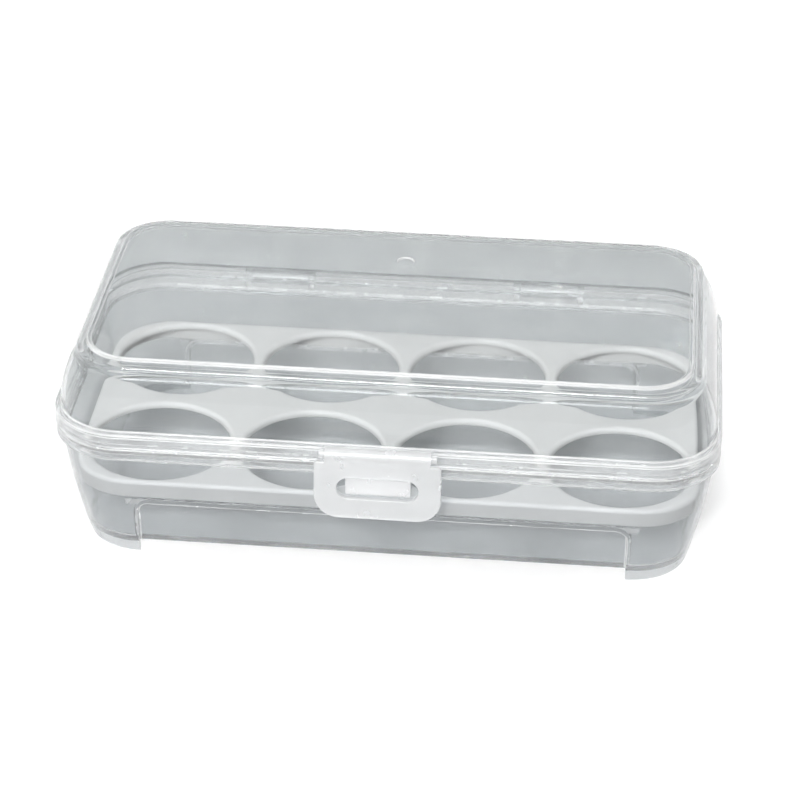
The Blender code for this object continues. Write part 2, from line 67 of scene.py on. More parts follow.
# Base
BASE_WALL = 0.0015
BASE_WALL_TOP_Z = 0.0392
BASE_RIM_TOP_Z = 0.0434
BASE_TOP = (0.214622, 0.113184, 0.0215)
BASE_FOOT = (0.201022, 0.104784, 0.0195)
BASE_WALL_CURVE = 1.5
FLOOR_Z = 0.0037
FLOOR_THICKNESS = 0.0016
FLOOR_ROUNDING = 0.0015
TONGUE_HEIGHT = 0.0015
TONGUE_THICKNESS = 0.0007
WINDOW_LENGTH = 0.160818
WINDOW_END_LENGTH = 0.059989
WINDOW_TOP_Z = 0.0201
WINDOW_DEPTH = 0.0021
WINDOW_RADIUS = 0.0040
WINDOW_ROUNDING = 0.0005
SHELF_THICKNESS = 0.0014

# Lid
LID_WALL = 0.0014
LID_FLANGE_TOP_Z = 0.0487
LID_WALL_OUTLINE = (0.215222, 0.114184, 0.0220)
LID_SHOULDER_OUTLINE = (0.203222, 0.104984, 0.0180)
LID_WALL_CURVE = 2.0
LID_TOP_Z = 0.07015
LID_TOP_ROUNDING = 0.0015
LID_ROOT_ROUNDING = 0.0005
PANEL_OUTLINE = (0.197222, 0.096784, 0.0156)
PANEL_HEIGHT = 0.00115
PANEL_ROUNDING = 0.0006
DIMPLE_RADIUS = 0.0031
DIMPLE_DEPTH = 0.0005
DIMPLE_OFFSET_Y = 0.027892

# Egg tray
HOLE_RADIUS = 0.0236
HOLE_ROUNDING = 0.0016
HOLE_PITCH = 0.05125
ROW_PITCH = 0.0545
COLUMNS = 4
ROWS = 2
TRAY_HEIGHT = 0.0063
TRAY_PLATE = 0.0020
TRAY_SKIRT = 0.0014
TRAY_ROUNDING = 0.0015
TRAY_OUTLINE = (0.2076, 0.1072, 0.0205)
TRAY_DRAFT = 0.0005

# Snap hinges and buckle
ROD_RADIUS = 0.0013
BARREL_RADIUS = 0.0027
MOUTH_HALF_ANGLE = math.radians(38)
HINGE_SPACING = 0.096106
HINGE_BARREL_LENGTH = 0.0200
HINGE_EAR_THICKNESS = 0.0022
REAR_MOUTH_ANGLE = math.radians(-50)
EAR_FOOT_ANGLE = math.radians(-75)
BUCKLE_AXIS_Z = 0.0485
BUCKLE_BARREL_LENGTH = 0.0340
BUCKLE_EAR_RADIUS = 0.00145
BUCKLE_EAR_THICKNESS = 0.0017
BUCKLE_EAR_ROOT = 0.0030
EAR_TOP_ANGLE = math.radians(100)
EAR_UNDER_ANGLE = math.radians(-110)
PLATE_WIDTH = 0.0410
PLATE_BOTTOM_Z = 0.0261
PLATE_THICKNESS = 0.0018
PLATE_SHOULDER_DROP = 0.0016
PLATE_TOP_RADIUS = 0.0014
PLATE_BOTTOM_RADIUS = 0.0080
PLATE_ROUNDING = 0.0005
SLOT_LENGTH = 0.0264
SLOT_HEIGHT = 0.0078
SLOT_CENTRE_Z = 0.0374
SLOT_ROUNDING = 0.0003
LUG_LENGTH = 0.0210
LUG_ROUNDING = 0.0006
PART_ROUNDING = 0.0003

# Derived places
LID_BOTTOM_Z = BASE_RIM_TOP_Z + CLEARANCE
AXIS_Y = RIM_WIDTH / 2 + CLEARANCE + BARREL_RADIUS
BORE_RADIUS = ROD_RADIUS + CLEARANCE
REAR_AXIS_Z = BASE_RIM_TOP_Z + CLEARANCE / 2
LIP_THICKNESS = LID_WALL + CLEARANCE + TONGUE_THICKNESS
SHELF_TOP_Z = WINDOW_TOP_Z + SHELF_THICKNESS
TRAY_BOTTOM_Z = SHELF_TOP_Z + CLEARANCE
TRAY_TOP_Z = TRAY_BOTTOM_Z + TRAY_HEIGHT
EMBED = LID_WALL / 2


# Shapes

def mix(low, high, share):
    return low + (high - low) * share


def ring(outline, inset, z):
    """Rounded rectangle of (length, width, radius), anticlockwise seen from above."""
    half_x, half_y, radius = outline[0] / 2 - inset, outline[1] / 2 - inset, outline[2] - inset
    points = []
    for corner, (side_x, side_y) in enumerate(((1, 1), (-1, 1), (-1, -1), (1, -1))):
        for step in range(CORNER_STEPS + 1):
            angle = math.pi / 2 * (corner + step / CORNER_STEPS)
            x = side_x * (half_x - radius) + radius * math.cos(angle)
            y = side_y * (half_y - radius) + radius * math.sin(angle)
            points.append(Vector((x, y, z)))
    return points


def circle(centre_x, centre_y, radius, z, steps):
    angles = [2 * math.pi * step / steps for step in range(steps)]
    return [Vector((centre_x + radius * math.cos(a), centre_y + radius * math.sin(a), z))
            for a in angles]


def arc(radius, start, end, centre=(0, 0)):
    steps = max(1, round(abs(end - start) / ARC_STEP_ANGLE))
    angles = [start + (end - start) * step / steps for step in range(steps + 1)]
    return [(centre[0] + radius * math.cos(a), centre[1] + radius * math.sin(a)) for a in angles]


def quarter(radius, steps=FILLET_STEPS):
    """(in from the side, up from the start) along a quarter round, from side to top."""
    angles = [math.pi / 2 * step / steps for step in range(steps + 1)]
    return [(radius * (1 - math.cos(a)), radius * math.sin(a)) for a in angles]


def add_loft(bm, rings):
    rows = [[bm.verts.new(point) for point in points] for points in rings]
    count = len(rows[0])
    for lower, upper in zip(rows, rows[1:]):
        for i in range(count):
            j = (i + 1) % count
            bm.faces.new((lower[i], lower[j], upper[j], upper[i]))
    bm.faces.new(list(reversed(rows[0])))
    bm.faces.new(rows[-1])


def make_object(name, bodies):
    bm = bmesh.new()
    for rings in bodies:
        add_loft(bm, rings)
    bmesh.ops.recalc_face_normals(bm, faces=bm.faces)
    mesh = bpy.data.meshes.new(name)
    bm.to_mesh(mesh)
    bm.free()
    obj = bpy.data.objects.new(name, mesh)
    bpy.context.scene.collection.objects.link(obj)
    return obj


def combine(obj, steps):
    """Join and cut with other closed bodies, leave one clean mesh and remove the tools."""
    tools = []
    for number, (operation, bodies) in enumerate(steps):
        tool = make_object(f"{obj.name}_tool_{number}", bodies)
        modifier = obj.modifiers.new(tool.name, "BOOLEAN")
        modifier.operation = operation
        modifier.solver = "EXACT"
        modifier.object = tool
        tools.append(tool)
    bpy.context.view_layer.update()
    evaluated = obj.evaluated_get(bpy.context.evaluated_depsgraph_get())
    mesh = bpy.data.meshes.new_from_object(evaluated)
    obj.modifiers.clear()
    obj.data = mesh
    mesh.name = obj.name
    for tool in tools:
        bpy.data.objects.remove(tool, do_unlink=True)


def finish_surface(obj):
    """Smooth shading with crisp corners, and flat faces that stay flat."""
    obj.data.shade_smooth()
    obj.data.set_sharp_from_angle(angle=SHARP_ANGLE)
    modifier = obj.modifiers.new("face_weighted_normals", "WEIGHTED_NORMAL")
    modifier.mode = "FACE_AREA"
    modifier.weight = 50
    modifier.keep_sharp = True


def plain_bar(profile, low, high):
    """A (y, z) profile run along X."""
    return [[Vector((x, y, z)) for y, z in profile] for x in (low, high)]


def rounded_bar(profile, low, high, rounding=PART_ROUNDING):
    """A (y, z) profile run along X, with its two ends rounded a little."""
    area = sum(a[0] * b[1] - b[0] * a[1] for a, b in zip(profile, profile[1:] + profile[:1]))
    points = [Vector(point) for point in (profile if area > 0 else reversed(profile))]
    middle = sum(points, Vector((0, 0))) / len(points)
    size = max((point - middle).length for point in points)
    fillet = quarter(rounding, BAR_FILLET_STEPS)
    ends = [(low + rounding - up, inset) for inset, up in reversed(fillet)]
    ends += [(high - rounding + up, inset) for inset, up in fillet]
    rings = []
    for x, inset in ends:
        smaller = [middle + (point - middle) * (1 - inset / size) for point in points]
        rings.append([Vector((x, point.x, point.y)) for point in smaller])
    return rings


# Base

def base_outline(z):
    share = max(0, 1 - z / BASE_WALL_TOP_Z) ** BASE_WALL_CURVE
    return tuple(mix(top, foot, share) for top, foot in zip(BASE_TOP, BASE_FOOT))


def rim_ring(inset, z):
    return ring((RIM_LENGTH, RIM_WIDTH, RIM_RADIUS), inset, z)


def base_ring(z, inset):
    return ring(base_outline(z), inset, z)


def base_shell():
    floor_top = FLOOR_Z + FLOOR_THICKNESS
    ledge = BASE_WALL_TOP_Z + BASE_WALL
    rounding = EDGE_ROUNDING
    rings = [base_ring(FLOOR_Z, BASE_WALL), base_ring(rounding, BASE_WALL)]
    rings += [base_ring(0, BASE_WALL - rounding), base_ring(0, rounding)]
    fillet = quarter(rounding)
    rings += [base_ring(rounding - up, side) for side, up in reversed(fillet)][1:]
    levels = [mix(rounding, BASE_WALL_TOP_Z, step / WALL_STEPS) for step in range(1, WALL_STEPS + 1)]
    rings += [base_ring(z, 0) for z in levels]
    rings += [rim_ring(side, BASE_WALL_TOP_Z + rounding - up) for side, up in reversed(fillet)]
    rings += [rim_ring(side, BASE_RIM_TOP_Z - rounding + up) for side, up in fillet]
    inner = LID_WALL + CLEARANCE
    tip = TONGUE_THICKNESS / 3
    tongue_top = BASE_RIM_TOP_Z + TONGUE_HEIGHT
    tip_fillet = quarter(tip, SMALL_FILLET_STEPS)
    rings.append(rim_ring(inner, BASE_RIM_TOP_Z))
    rings += [rim_ring(inner + side, tongue_top - tip + up) for side, up in tip_fillet]
    rings += [rim_ring(LIP_THICKNESS - side, tongue_top - tip + up) for side, up in reversed(tip_fillet)]
    rings.append(rim_ring(LIP_THICKNESS, ledge + rounding))
    rings += [rim_ring(LIP_THICKNESS + side, ledge + rounding - up) for side, up in fillet][1:-1]
    start = floor_top + FLOOR_ROUNDING
    rings += [base_ring(mix(ledge, start, step / WALL_STEPS), BASE_WALL)
              for step in range(WALL_STEPS + 1)]
    rings += [base_ring(start - up, BASE_WALL + side) for side, up in quarter(FLOOR_ROUNDING)][1:]
    return rings


def window_outline(half_length, low, high, radius, inset=0.0):
    corner = half_length - radius
    size = radius - inset
    right = arc(size, 0, math.pi / 2, (corner, high - radius))
    left = arc(size, math.pi / 2, math.pi, (-corner, high - radius))
    half = half_length - inset
    return [(-half, low), (half, low)] + right + left


def wall_reach(side, z):
    outline = base_outline(z)
    return outline[1] / 2 if side % 2 == 0 else outline[0] / 2


def panel_reach(side, z):
    low = wall_reach(side, FLOOR_Z)
    high = wall_reach(side, WINDOW_TOP_Z)
    return mix(low, high, (z - FLOOR_Z) / (WINDOW_TOP_Z - FLOOR_Z)) - WINDOW_DEPTH


def side_ring(side, outline, reach):
    turn = Matrix.Rotation(side * math.pi / 2, 3, "Z")
    return [turn @ Vector((along, -reach(z), z)) for along, z in outline]


def window_half_length(side):
    return (WINDOW_LENGTH if side % 2 == 0 else WINDOW_END_LENGTH) / 2


def window_panels():
    """The inner walls of the recesses, with the shelves on top of them."""
    bodies = []
    low = FLOOR_Z + FLOOR_THICKNESS / 2
    size = WINDOW_ROUNDING
    for side in range(4):
        half = window_half_length(side) + SHELF_THICKNESS
        radius = WINDOW_RADIUS + SHELF_THICKNESS
        rings = [side_ring(side, window_outline(half, low, SHELF_TOP_Z, radius, inward),
                           lambda z, back=size - up: panel_reach(side, z) - BASE_WALL + back)
                 for inward, up in reversed(quarter(size))]
        rings.append(side_ring(side, window_outline(half, low, SHELF_TOP_Z, radius),
                               lambda z: panel_reach(side, z) + WINDOW_DEPTH - BASE_WALL / 2))
        bodies.append(rings)
    return bodies


def window_pockets():
    """What the recesses take away outside."""
    bodies = []
    size = WINDOW_ROUNDING
    for side in range(4):
        half = window_half_length(side)
        rings = [side_ring(side, window_outline(half, -OVERRUN, WINDOW_TOP_Z, WINDOW_RADIUS, inward),
                           lambda z, back=size - up: panel_reach(side, z) + back)
                 for inward, up in reversed(quarter(size))]
        rings += [side_ring(side, window_outline(half, -OVERRUN, WINDOW_TOP_Z, WINDOW_RADIUS, -outward),
                            lambda z, back=back: wall_reach(side, max(z, 0)) - size + back)
                  for outward, back in quarter(size)]
        rings.append(side_ring(side, window_outline(half, -OVERRUN, WINDOW_TOP_Z, WINDOW_RADIUS, -size),
                               lambda z: wall_reach(side, BASE_WALL_TOP_Z) + OVERRUN))
        bodies.append(rings)
    return bodies


def at_axis(profile, side, axis_z):
    return [(side * (AXIS_Y + out), axis_z + up) for out, up in profile]


def catch_lug():
    high = SLOT_CENTRE_Z + SLOT_HEIGHT / 2 - CLEARANCE
    low = SLOT_CENTRE_Z - SLOT_HEIGHT / 2 + CLEARANCE
    face = AXIS_Y + BARREL_RADIUS - PLATE_THICKNESS - CLEARANCE
    root = base_outline(high)[1] / 2 + CLEARANCE / 2
    size = LUG_ROUNDING
    profile = [(-root, low), (-root, high)]
    profile += [(-face + size - u, high - i) for i, u in quarter(size)]
    profile += [(-face + size - u, low + i) for i, u in reversed(quarter(size))]
    return [rounded_bar(profile, -LUG_LENGTH / 2, LUG_LENGTH / 2, LUG_ROUNDING)]


def hinge_places():
    return (-HINGE_SPACING / 2, HINGE_SPACING / 2)


def rear_ears():
    reach = CLEARANCE + BARREL_RADIUS + EMBED
    root_top = BASE_RIM_TOP_Z - EDGE_ROUNDING - REAR_AXIS_Z
    root_bottom = BASE_WALL_TOP_Z + EDGE_ROUNDING - REAR_AXIS_Z
    start = math.pi - math.asin(root_top / BARREL_RADIUS)
    profile = [(-reach, root_top)] + arc(BARREL_RADIUS, start, 0)
    profile += arc(BARREL_RADIUS, 0, EAR_FOOT_ANGLE)[1:] + [(-reach, root_bottom)]
    profile = at_axis(profile, 1, REAR_AXIS_Z)
    bodies = []
    for centre in hinge_places():
        inner = HINGE_BARREL_LENGTH / 2 + CLEARANCE
        outer = inner + HINGE_EAR_THICKNESS
        bodies.append(rounded_bar(profile, centre - outer, centre - inner))
        bodies.append(rounded_bar(profile, centre + inner, centre + outer))
    return bodies


def rod(centre_x, half_length, y, z):
    angles = [2 * math.pi * step / ROD_STEPS for step in range(ROD_STEPS)]
    profile = [(y + ROD_RADIUS * math.cos(a), z + ROD_RADIUS * math.sin(a)) for a in angles]
    return plain_bar(profile, centre_x - half_length, centre_x + half_length)


def rear_rods():
    half_length = HINGE_BARREL_LENGTH / 2 + CLEARANCE + HINGE_EAR_THICKNESS / 2
    return [rod(centre, half_length, AXIS_Y, REAR_AXIS_Z) for centre in hinge_places()]


def build_base():
    base = make_object("base_shell", [base_shell()])
    combine(base, [("UNION", window_panels()), ("DIFFERENCE", window_pockets()),
                   ("UNION", rear_ears()), ("UNION", rear_rods())])
    return base


# Lid

def lid_outline(z):
    top = LID_TOP_Z - LID_TOP_ROUNDING
    share = ((z - LID_FLANGE_TOP_Z) / (top - LID_FLANGE_TOP_Z)) ** LID_WALL_CURVE
    return tuple(mix(low, high, share) for low, high in zip(LID_WALL_OUTLINE, LID_SHOULDER_OUTLINE))


def lid_ring(z, inset, at_z=None):
    return ring(lid_outline(z if at_z is None else at_z), inset, z)


def panel_ring(inset, z):
    return ring(PANEL_OUTLINE, inset, z)


def lid_shell():
    wall_top = LID_TOP_Z - LID_TOP_ROUNDING
    panel_top = LID_TOP_Z + PANEL_HEIGHT
    skirt_ceiling = LID_FLANGE_TOP_Z - LID_WALL
    root = LID_ROOT_ROUNDING
    edge = EDGE_ROUNDING
    inner_edge = PANEL_ROUNDING / 2
    rings = [panel_ring(LID_WALL + side, panel_top - LID_WALL - inner_edge + up)
             for side, up in reversed(quarter(inner_edge))]
    rings += [panel_ring(LID_WALL - side, LID_TOP_Z - LID_WALL + inner_edge - up)
              for side, up in quarter(inner_edge)]
    inner_top = LID_TOP_Z - LID_WALL
    start = wall_top - LID_WALL
    rings += [lid_ring(start + up, LID_WALL + side, wall_top)
              for side, up in reversed(quarter(inner_top - start))]
    levels = [mix(LID_FLANGE_TOP_Z, wall_top, step / WALL_STEPS) for step in range(WALL_STEPS + 1)]
    below = [z for z in reversed(levels[1:]) if z < start]
    rings += [lid_ring(z, LID_WALL) for z in below]
    rings += [lid_ring(skirt_ceiling + root - up, LID_WALL - side, LID_FLANGE_TOP_Z)
              for side, up in quarter(root)]
    rings += [rim_ring(LID_WALL + side, skirt_ceiling - edge + up)
              for side, up in reversed(quarter(edge))]
    rings += [rim_ring(LID_WALL, LID_BOTTOM_Z + edge / 2), rim_ring(LID_WALL, LID_BOTTOM_Z)]
    rings += [rim_ring(side, LID_BOTTOM_Z + edge - up) for side, up in reversed(quarter(edge))]
    rings += [rim_ring(side, LID_FLANGE_TOP_Z - edge + up) for side, up in quarter(edge)]
    rings += [lid_ring(LID_FLANGE_TOP_Z + root - up, -side, LID_FLANGE_TOP_Z)
              for side, up in reversed(quarter(root))]
    rings += [lid_ring(z, 0) for z in levels[1:]]
    rings += [lid_ring(wall_top + up, side, wall_top)
              for side, up in quarter(LID_TOP_ROUNDING, BIG_FILLET_STEPS)][1:]
    rings += [panel_ring(-side, LID_TOP_Z + inner_edge - up)
              for side, up in reversed(quarter(inner_edge))]
    rings += [panel_ring(side, panel_top - PANEL_ROUNDING + up) for side, up in quarter(PANEL_ROUNDING)]
    return rings


def rear_hooks():
    reach = CLEARANCE + BARREL_RADIUS + EMBED
    root_low = LID_BOTTOM_Z + EDGE_ROUNDING - REAR_AXIS_Z
    upper_lip = REAR_MOUTH_ANGLE + MOUTH_HALF_ANGLE
    lower_lip = REAR_MOUTH_ANGLE - MOUTH_HALF_ANGLE + 2 * math.pi
    end = math.pi - math.asin(root_low / BARREL_RADIUS)
    profile = [(-reach, BARREL_RADIUS)] + arc(BARREL_RADIUS, math.pi / 2, upper_lip)
    profile += arc(BORE_RADIUS, upper_lip, lower_lip) + arc(BARREL_RADIUS, lower_lip, end)
    profile.append((-reach, root_low))
    profile = at_axis(profile, 1, REAR_AXIS_Z)
    half = HINGE_BARREL_LENGTH / 2
    return [plain_bar(profile, centre - half, centre + half) for centre in hinge_places()]


def buckle_ears():
    reach = CLEARANCE + BARREL_RADIUS + EMBED
    root_top = LID_FLANGE_TOP_Z - EDGE_ROUNDING - BUCKLE_AXIS_Z
    profile = arc(BUCKLE_EAR_RADIUS, EAR_TOP_ANGLE, EAR_UNDER_ANGLE)
    profile += [(-reach, root_top - BUCKLE_EAR_ROOT), (-reach, root_top)]
    profile = at_axis(profile, -1, BUCKLE_AXIS_Z)
    inner = BUCKLE_BARREL_LENGTH / 2 + CLEARANCE
    outer = inner + BUCKLE_EAR_THICKNESS
    return [rounded_bar(profile, -outer, -inner), rounded_bar(profile, inner, outer)]


def buckle_rod():
    half_length = BUCKLE_BARREL_LENGTH / 2 + CLEARANCE + BUCKLE_EAR_THICKNESS / 2
    return [rod(0, half_length, -AXIS_Y, BUCKLE_AXIS_Z)]


def gate_dimple():
    top = LID_TOP_Z + PANEL_HEIGHT
    size = DIMPLE_DEPTH
    rings = [circle(0, DIMPLE_OFFSET_Y, DIMPLE_RADIUS - side, top - up, HOLE_STEPS // 2)
             for side, up in reversed(quarter(size))]
    rings.append(circle(0, DIMPLE_OFFSET_Y, DIMPLE_RADIUS, top + OVERRUN, HOLE_STEPS // 2))
    return [rings]


def build_lid():
    lid = make_object("lid_shell", [lid_shell()])
    combine(lid, [("DIFFERENCE", gate_dimple()), ("UNION", rear_hooks()), ("UNION", buckle_ears()),
                  ("UNION", buckle_rod())])
    return lid


# Egg tray

def tray_ring(inset, z):
    draft = TRAY_DRAFT * (TRAY_TOP_Z - z) / TRAY_HEIGHT
    return ring(TRAY_OUTLINE, draft + inset, z)


def tray_body():
    shoulder = TRAY_TOP_Z - TRAY_ROUNDING
    foot = EDGE_ROUNDING
    rings = [tray_ring(side, TRAY_BOTTOM_Z + foot - up) for side, up in reversed(quarter(foot))]
    rings += [tray_ring(side, shoulder + up) for side, up in quarter(TRAY_ROUNDING, BIG_FILLET_STEPS)]
    return [rings]


def tray_underside():
    low = TRAY_BOTTOM_Z - OVERRUN
    top = TRAY_TOP_Z - TRAY_PLATE
    size = EDGE_ROUNDING
    rings = [tray_ring(TRAY_SKIRT, low)]
    rings += [tray_ring(TRAY_SKIRT + side, top - size + up) for side, up in quarter(size)]
    return [rings]


def egg_holes():
    bodies = []
    under = TRAY_TOP_Z - TRAY_PLATE
    start = TRAY_TOP_Z - HOLE_ROUNDING
    for column in range(COLUMNS):
        for row in range(ROWS):
            x = (column - (COLUMNS - 1) / 2) * HOLE_PITCH
            y = (row - (ROWS - 1) / 2) * ROW_PITCH
            rings = [circle(x, y, HOLE_RADIUS, under - OVERRUN, HOLE_STEPS)]
            rings += [circle(x, y, HOLE_RADIUS + side, start + up, HOLE_STEPS)
                      for side, up in quarter(HOLE_ROUNDING, HOLE_FILLET_STEPS)]
            rings.append(circle(x, y, HOLE_RADIUS + HOLE_ROUNDING, TRAY_TOP_Z + OVERRUN, HOLE_STEPS))
            bodies.append(rings)
    return bodies


def build_tray():
    tray = make_object("tray_moulding", tray_body())
    combine(tray, [("DIFFERENCE", tray_underside()), ("DIFFERENCE", egg_holes())])
    return tray


# Buckle

def plate_ring(inset, y):
    half = PLATE_WIDTH / 2 - inset
    high = BUCKLE_AXIS_Z - PLATE_SHOULDER_DROP - inset
    low = PLATE_BOTTOM_Z + inset
    top = PLATE_TOP_RADIUS - inset
    bottom = PLATE_BOTTOM_RADIUS - inset
    right = math.pi / 2
    points = arc(bottom, -2 * right, -right, (bottom - half, low + bottom))
    points += arc(bottom, -right, 0, (half - bottom, low + bottom))
    points += arc(top, 0, right, (half - top, high - top))
    points += arc(top, right, 2 * right, (top - half, high - top))
    return [Vector((x, y, z)) for x, z in points]


def buckle_plate():
    front = -(AXIS_Y + BARREL_RADIUS)
    back = front + PLATE_THICKNESS
    size = PLATE_ROUNDING
    rings = [plate_ring(side, back - size + up) for side, up in reversed(quarter(size))]
    rings += [plate_ring(side, front + size - up) for side, up in quarter(size)]
    return [rings]


def buckle_barrel():
    inner = BARREL_RADIUS - PLATE_THICKNESS
    low = -math.sqrt(BARREL_RADIUS ** 2 - inner ** 2)
    lip = math.pi - MOUTH_HALF_ANGLE
    profile = arc(BARREL_RADIUS, lip, 0) + [(BARREL_RADIUS, low)]
    profile += arc(BARREL_RADIUS, math.atan2(low, inner), -lip) + arc(BORE_RADIUS, -lip, lip)
    profile = at_axis(profile, -1, BUCKLE_AXIS_Z)
    return [plain_bar(profile, -BUCKLE_BARREL_LENGTH / 2, BUCKLE_BARREL_LENGTH / 2)]


def slot_ring(outset, y):
    radius = SLOT_HEIGHT / 2 + outset
    middle = SLOT_LENGTH / 2 - SLOT_HEIGHT / 2
    right = math.pi / 2
    outline = arc(radius, -right, right, (middle, SLOT_CENTRE_Z))
    outline += arc(radius, right, 3 * right, (-middle, SLOT_CENTRE_Z))
    return [Vector((x, y, z)) for x, z in outline]


def slot_cutter():
    front = -(AXIS_Y + BARREL_RADIUS)
    back = front + PLATE_THICKNESS
    size = SLOT_ROUNDING
    fillet = quarter(size, SMALL_FILLET_STEPS)
    rings = [slot_ring(size, back + OVERRUN)]
    rings += [slot_ring(side, back - size + up) for side, up in reversed(fillet)]
    rings += [slot_ring(side, front + size - up) for side, up in fillet]
    rings.append(slot_ring(size, front - OVERRUN))
    return [rings]


def build_buckle():
    buckle = make_object("buckle_moulding", buckle_plate())
    combine(buckle, [("UNION", buckle_barrel()), ("DIFFERENCE", slot_cutter())])
    return buckle


# Materials

PLASTIC_IOR = 1.43
EDGE_FACE_WIDTH = 0.00028
# Facing range over which the painted sheen turns a wall's tint paler
EDGE_ON_SHEEN_RANGE = (0.75, 1.0)
WAVE_HEIGHT = 0.002
GRAIN_HEIGHT = 0.0002
HAIRLINE_SCALE = (40, 900, 900)
HAIRLINE_TURN = (0.3, 0.2, 0.5)
HAIRLINE_RANGE = (0.62, 0.70)


def add_node(tree, kind, **values):
    node = tree.nodes.new(kind)
    for name, value in values.items():
        if hasattr(node, name):
            setattr(node, name, value)
        else:
            node.inputs[name.replace("_", " ")].default_value = value
    return node


def noise(tree, vector, scale, detail=2.0, roughness=0.5):
    node = add_node(tree, "ShaderNodeTexNoise", Scale=scale, Detail=detail, Roughness=roughness)
    tree.links.new(vector, node.inputs["Vector"])
    return node.outputs["Fac"]


def spread(tree, value, low, high, start=0.35, end=0.65):
    """Map a noise value to a range."""
    node = tree.nodes.new("ShaderNodeMapRange")
    tree.links.new(value, node.inputs["Value"])
    for name, number in (("From Min", start), ("From Max", end), ("To Min", low), ("To Max", high)):
        node.inputs[name].default_value = number
    return node.outputs["Result"]


def edge_on_painted_sheen(tree):
    """1 where the wall is seen edge-on, through its length; this is where the painted sheen goes."""
    slant = tree.nodes.new("ShaderNodeLayerWeight")
    return spread(tree, slant.outputs["Facing"], 0, 1, *EDGE_ON_SHEEN_RANGE)


def mix_colours(tree, share, first, second):
    """From the first to the second colour; the first may be another node's output."""
    node = add_node(tree, "ShaderNodeMix", data_type="RGBA")
    tree.links.new(share, node.inputs["Factor"])
    if isinstance(first, tuple):
        node.inputs["A"].default_value = (*first, 1)
    else:
        tree.links.new(first, node.inputs["A"])
    node.inputs["B"].default_value = (*second, 1)
    return node.outputs["Result"]


def mix_shaders(tree, share, first, second):
    node = tree.nodes.new("ShaderNodeMixShader")
    tree.links.new(share, node.inputs["Fac"])
    tree.links.new(first.outputs[0], node.inputs[1])
    tree.links.new(second.outputs[0], node.inputs[2])
    return node


def bump(tree, height, strength, distance):
    node = add_node(tree, "ShaderNodeBump", Strength=strength, Distance=distance)
    tree.links.new(height, node.inputs["Height"])
    return node


def ray_share(tree, *kinds):
    """1 for rays of the named kinds."""
    rays = tree.nodes.new("ShaderNodeLightPath")
    total = rays.outputs[kinds[0]]
    for kind in kinds[1:]:
        add = add_node(tree, "ShaderNodeMath", operation="MAXIMUM")
        tree.links.new(total, add.inputs[0])
        tree.links.new(rays.outputs[kind], add.inputs[1])
        total = add.outputs["Value"]
    return total


def plastic(name, pale, deep, roughness, transmission, cloud_scale=45, grain_scale=1600, grain=0.02,
            wave_scale=70, wave=0.05, shadow=None, hairlines=0.0, edge=None):
    """Moulded plastic: cloudy colour, uneven gloss, slow waves, fine grain and faint hairlines; edge is
    a painted sheen, a paler tint where the wall is seen edge-on.

    shadow is what light the piece lets through to the things behind it.
    """
    material = bpy.data.materials.new(name)
    material.use_nodes = True
    tree = material.node_tree
    shader = tree.nodes["Principled BSDF"]
    output = tree.nodes["Material Output"]
    place = tree.nodes.new("ShaderNodeTexCoord").outputs["Object"]

    clouds = noise(tree, place, cloud_scale, 3.0)
    colour = mix_colours(tree, spread(tree, clouds, 0, 1), pale, deep)
    # painted sheen: the colour turns to the paler edge tint where the wall is seen edge-on
    if edge:
        colour = mix_colours(tree, edge_on_painted_sheen(tree), colour, edge)
    tree.links.new(colour, shader.inputs["Base Color"])

    gloss = spread(tree, noise(tree, place, cloud_scale * 3, 4.0), *roughness)
    if hairlines:
        stretch = add_node(tree, "ShaderNodeMapping", Scale=HAIRLINE_SCALE, Rotation=HAIRLINE_TURN)
        tree.links.new(place, stretch.inputs["Vector"])
        streaks = noise(tree, stretch.outputs["Vector"], 1.0, 1.0)
        lines = spread(tree, streaks, 0, hairlines, *HAIRLINE_RANGE)
        dulled = add_node(tree, "ShaderNodeMath", operation="ADD")
        tree.links.new(gloss, dulled.inputs[0])
        tree.links.new(lines, dulled.inputs[1])
        gloss = dulled.outputs["Value"]
    tree.links.new(gloss, shader.inputs["Roughness"])

    waves = bump(tree, noise(tree, place, wave_scale, 1.0), wave, WAVE_HEIGHT)
    fine = bump(tree, noise(tree, place, grain_scale, 3.0), grain, GRAIN_HEIGHT)
    tree.links.new(waves.outputs["Normal"], fine.inputs["Normal"])
    tree.links.new(fine.outputs["Normal"], shader.inputs["Normal"])

    shader.inputs["IOR"].default_value = PLASTIC_IOR
    shader.inputs["Transmission Weight"].default_value = transmission
    if shadow:
        clear = add_node(tree, "ShaderNodeBsdfTransparent", Color=(*shadow, 1))
        blend = mix_shaders(tree, ray_share(tree, "Is Shadow Ray"), shader, clear)
        tree.links.new(blend.outputs["Shader"], output.inputs["Surface"])
    return material


def mark_faces(mesh):
    """Second material, painted highlight lines, for the narrow faces of fillets; third, a paler band
    with painted light, for the band where base and lid meet.
    """
    for face in mesh.polygons:
        corners = [mesh.vertices[i].co for i in face.vertices]
        longest = max((b - a).length for a, b in zip(corners, corners[1:] + corners[:1]))
        above = min(corner.z for corner in corners) >= BASE_WALL_TOP_Z
        below = max(corner.z for corner in corners) <= LID_FLANGE_TOP_Z + LID_ROOT_ROUNDING
        # narrow fillet faces get the painted highlight lines
        if face.area < longest * EDGE_FACE_WIDTH:
            face.material_index = 1
        # the band where base and lid meet gets the rim material, whose paler tint is painted light
        elif above and below:
            face.material_index = 2
        else:
            face.material_index = 0


def place_piece(obj, body, node, slot, *materials):
    finish_surface(obj)
    obj.data.materials.clear()
    for material in materials:
        obj.data.materials.append(material)
    if len(materials) > 1:
        mark_faces(obj.data)
    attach(obj, body)
    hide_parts(node)
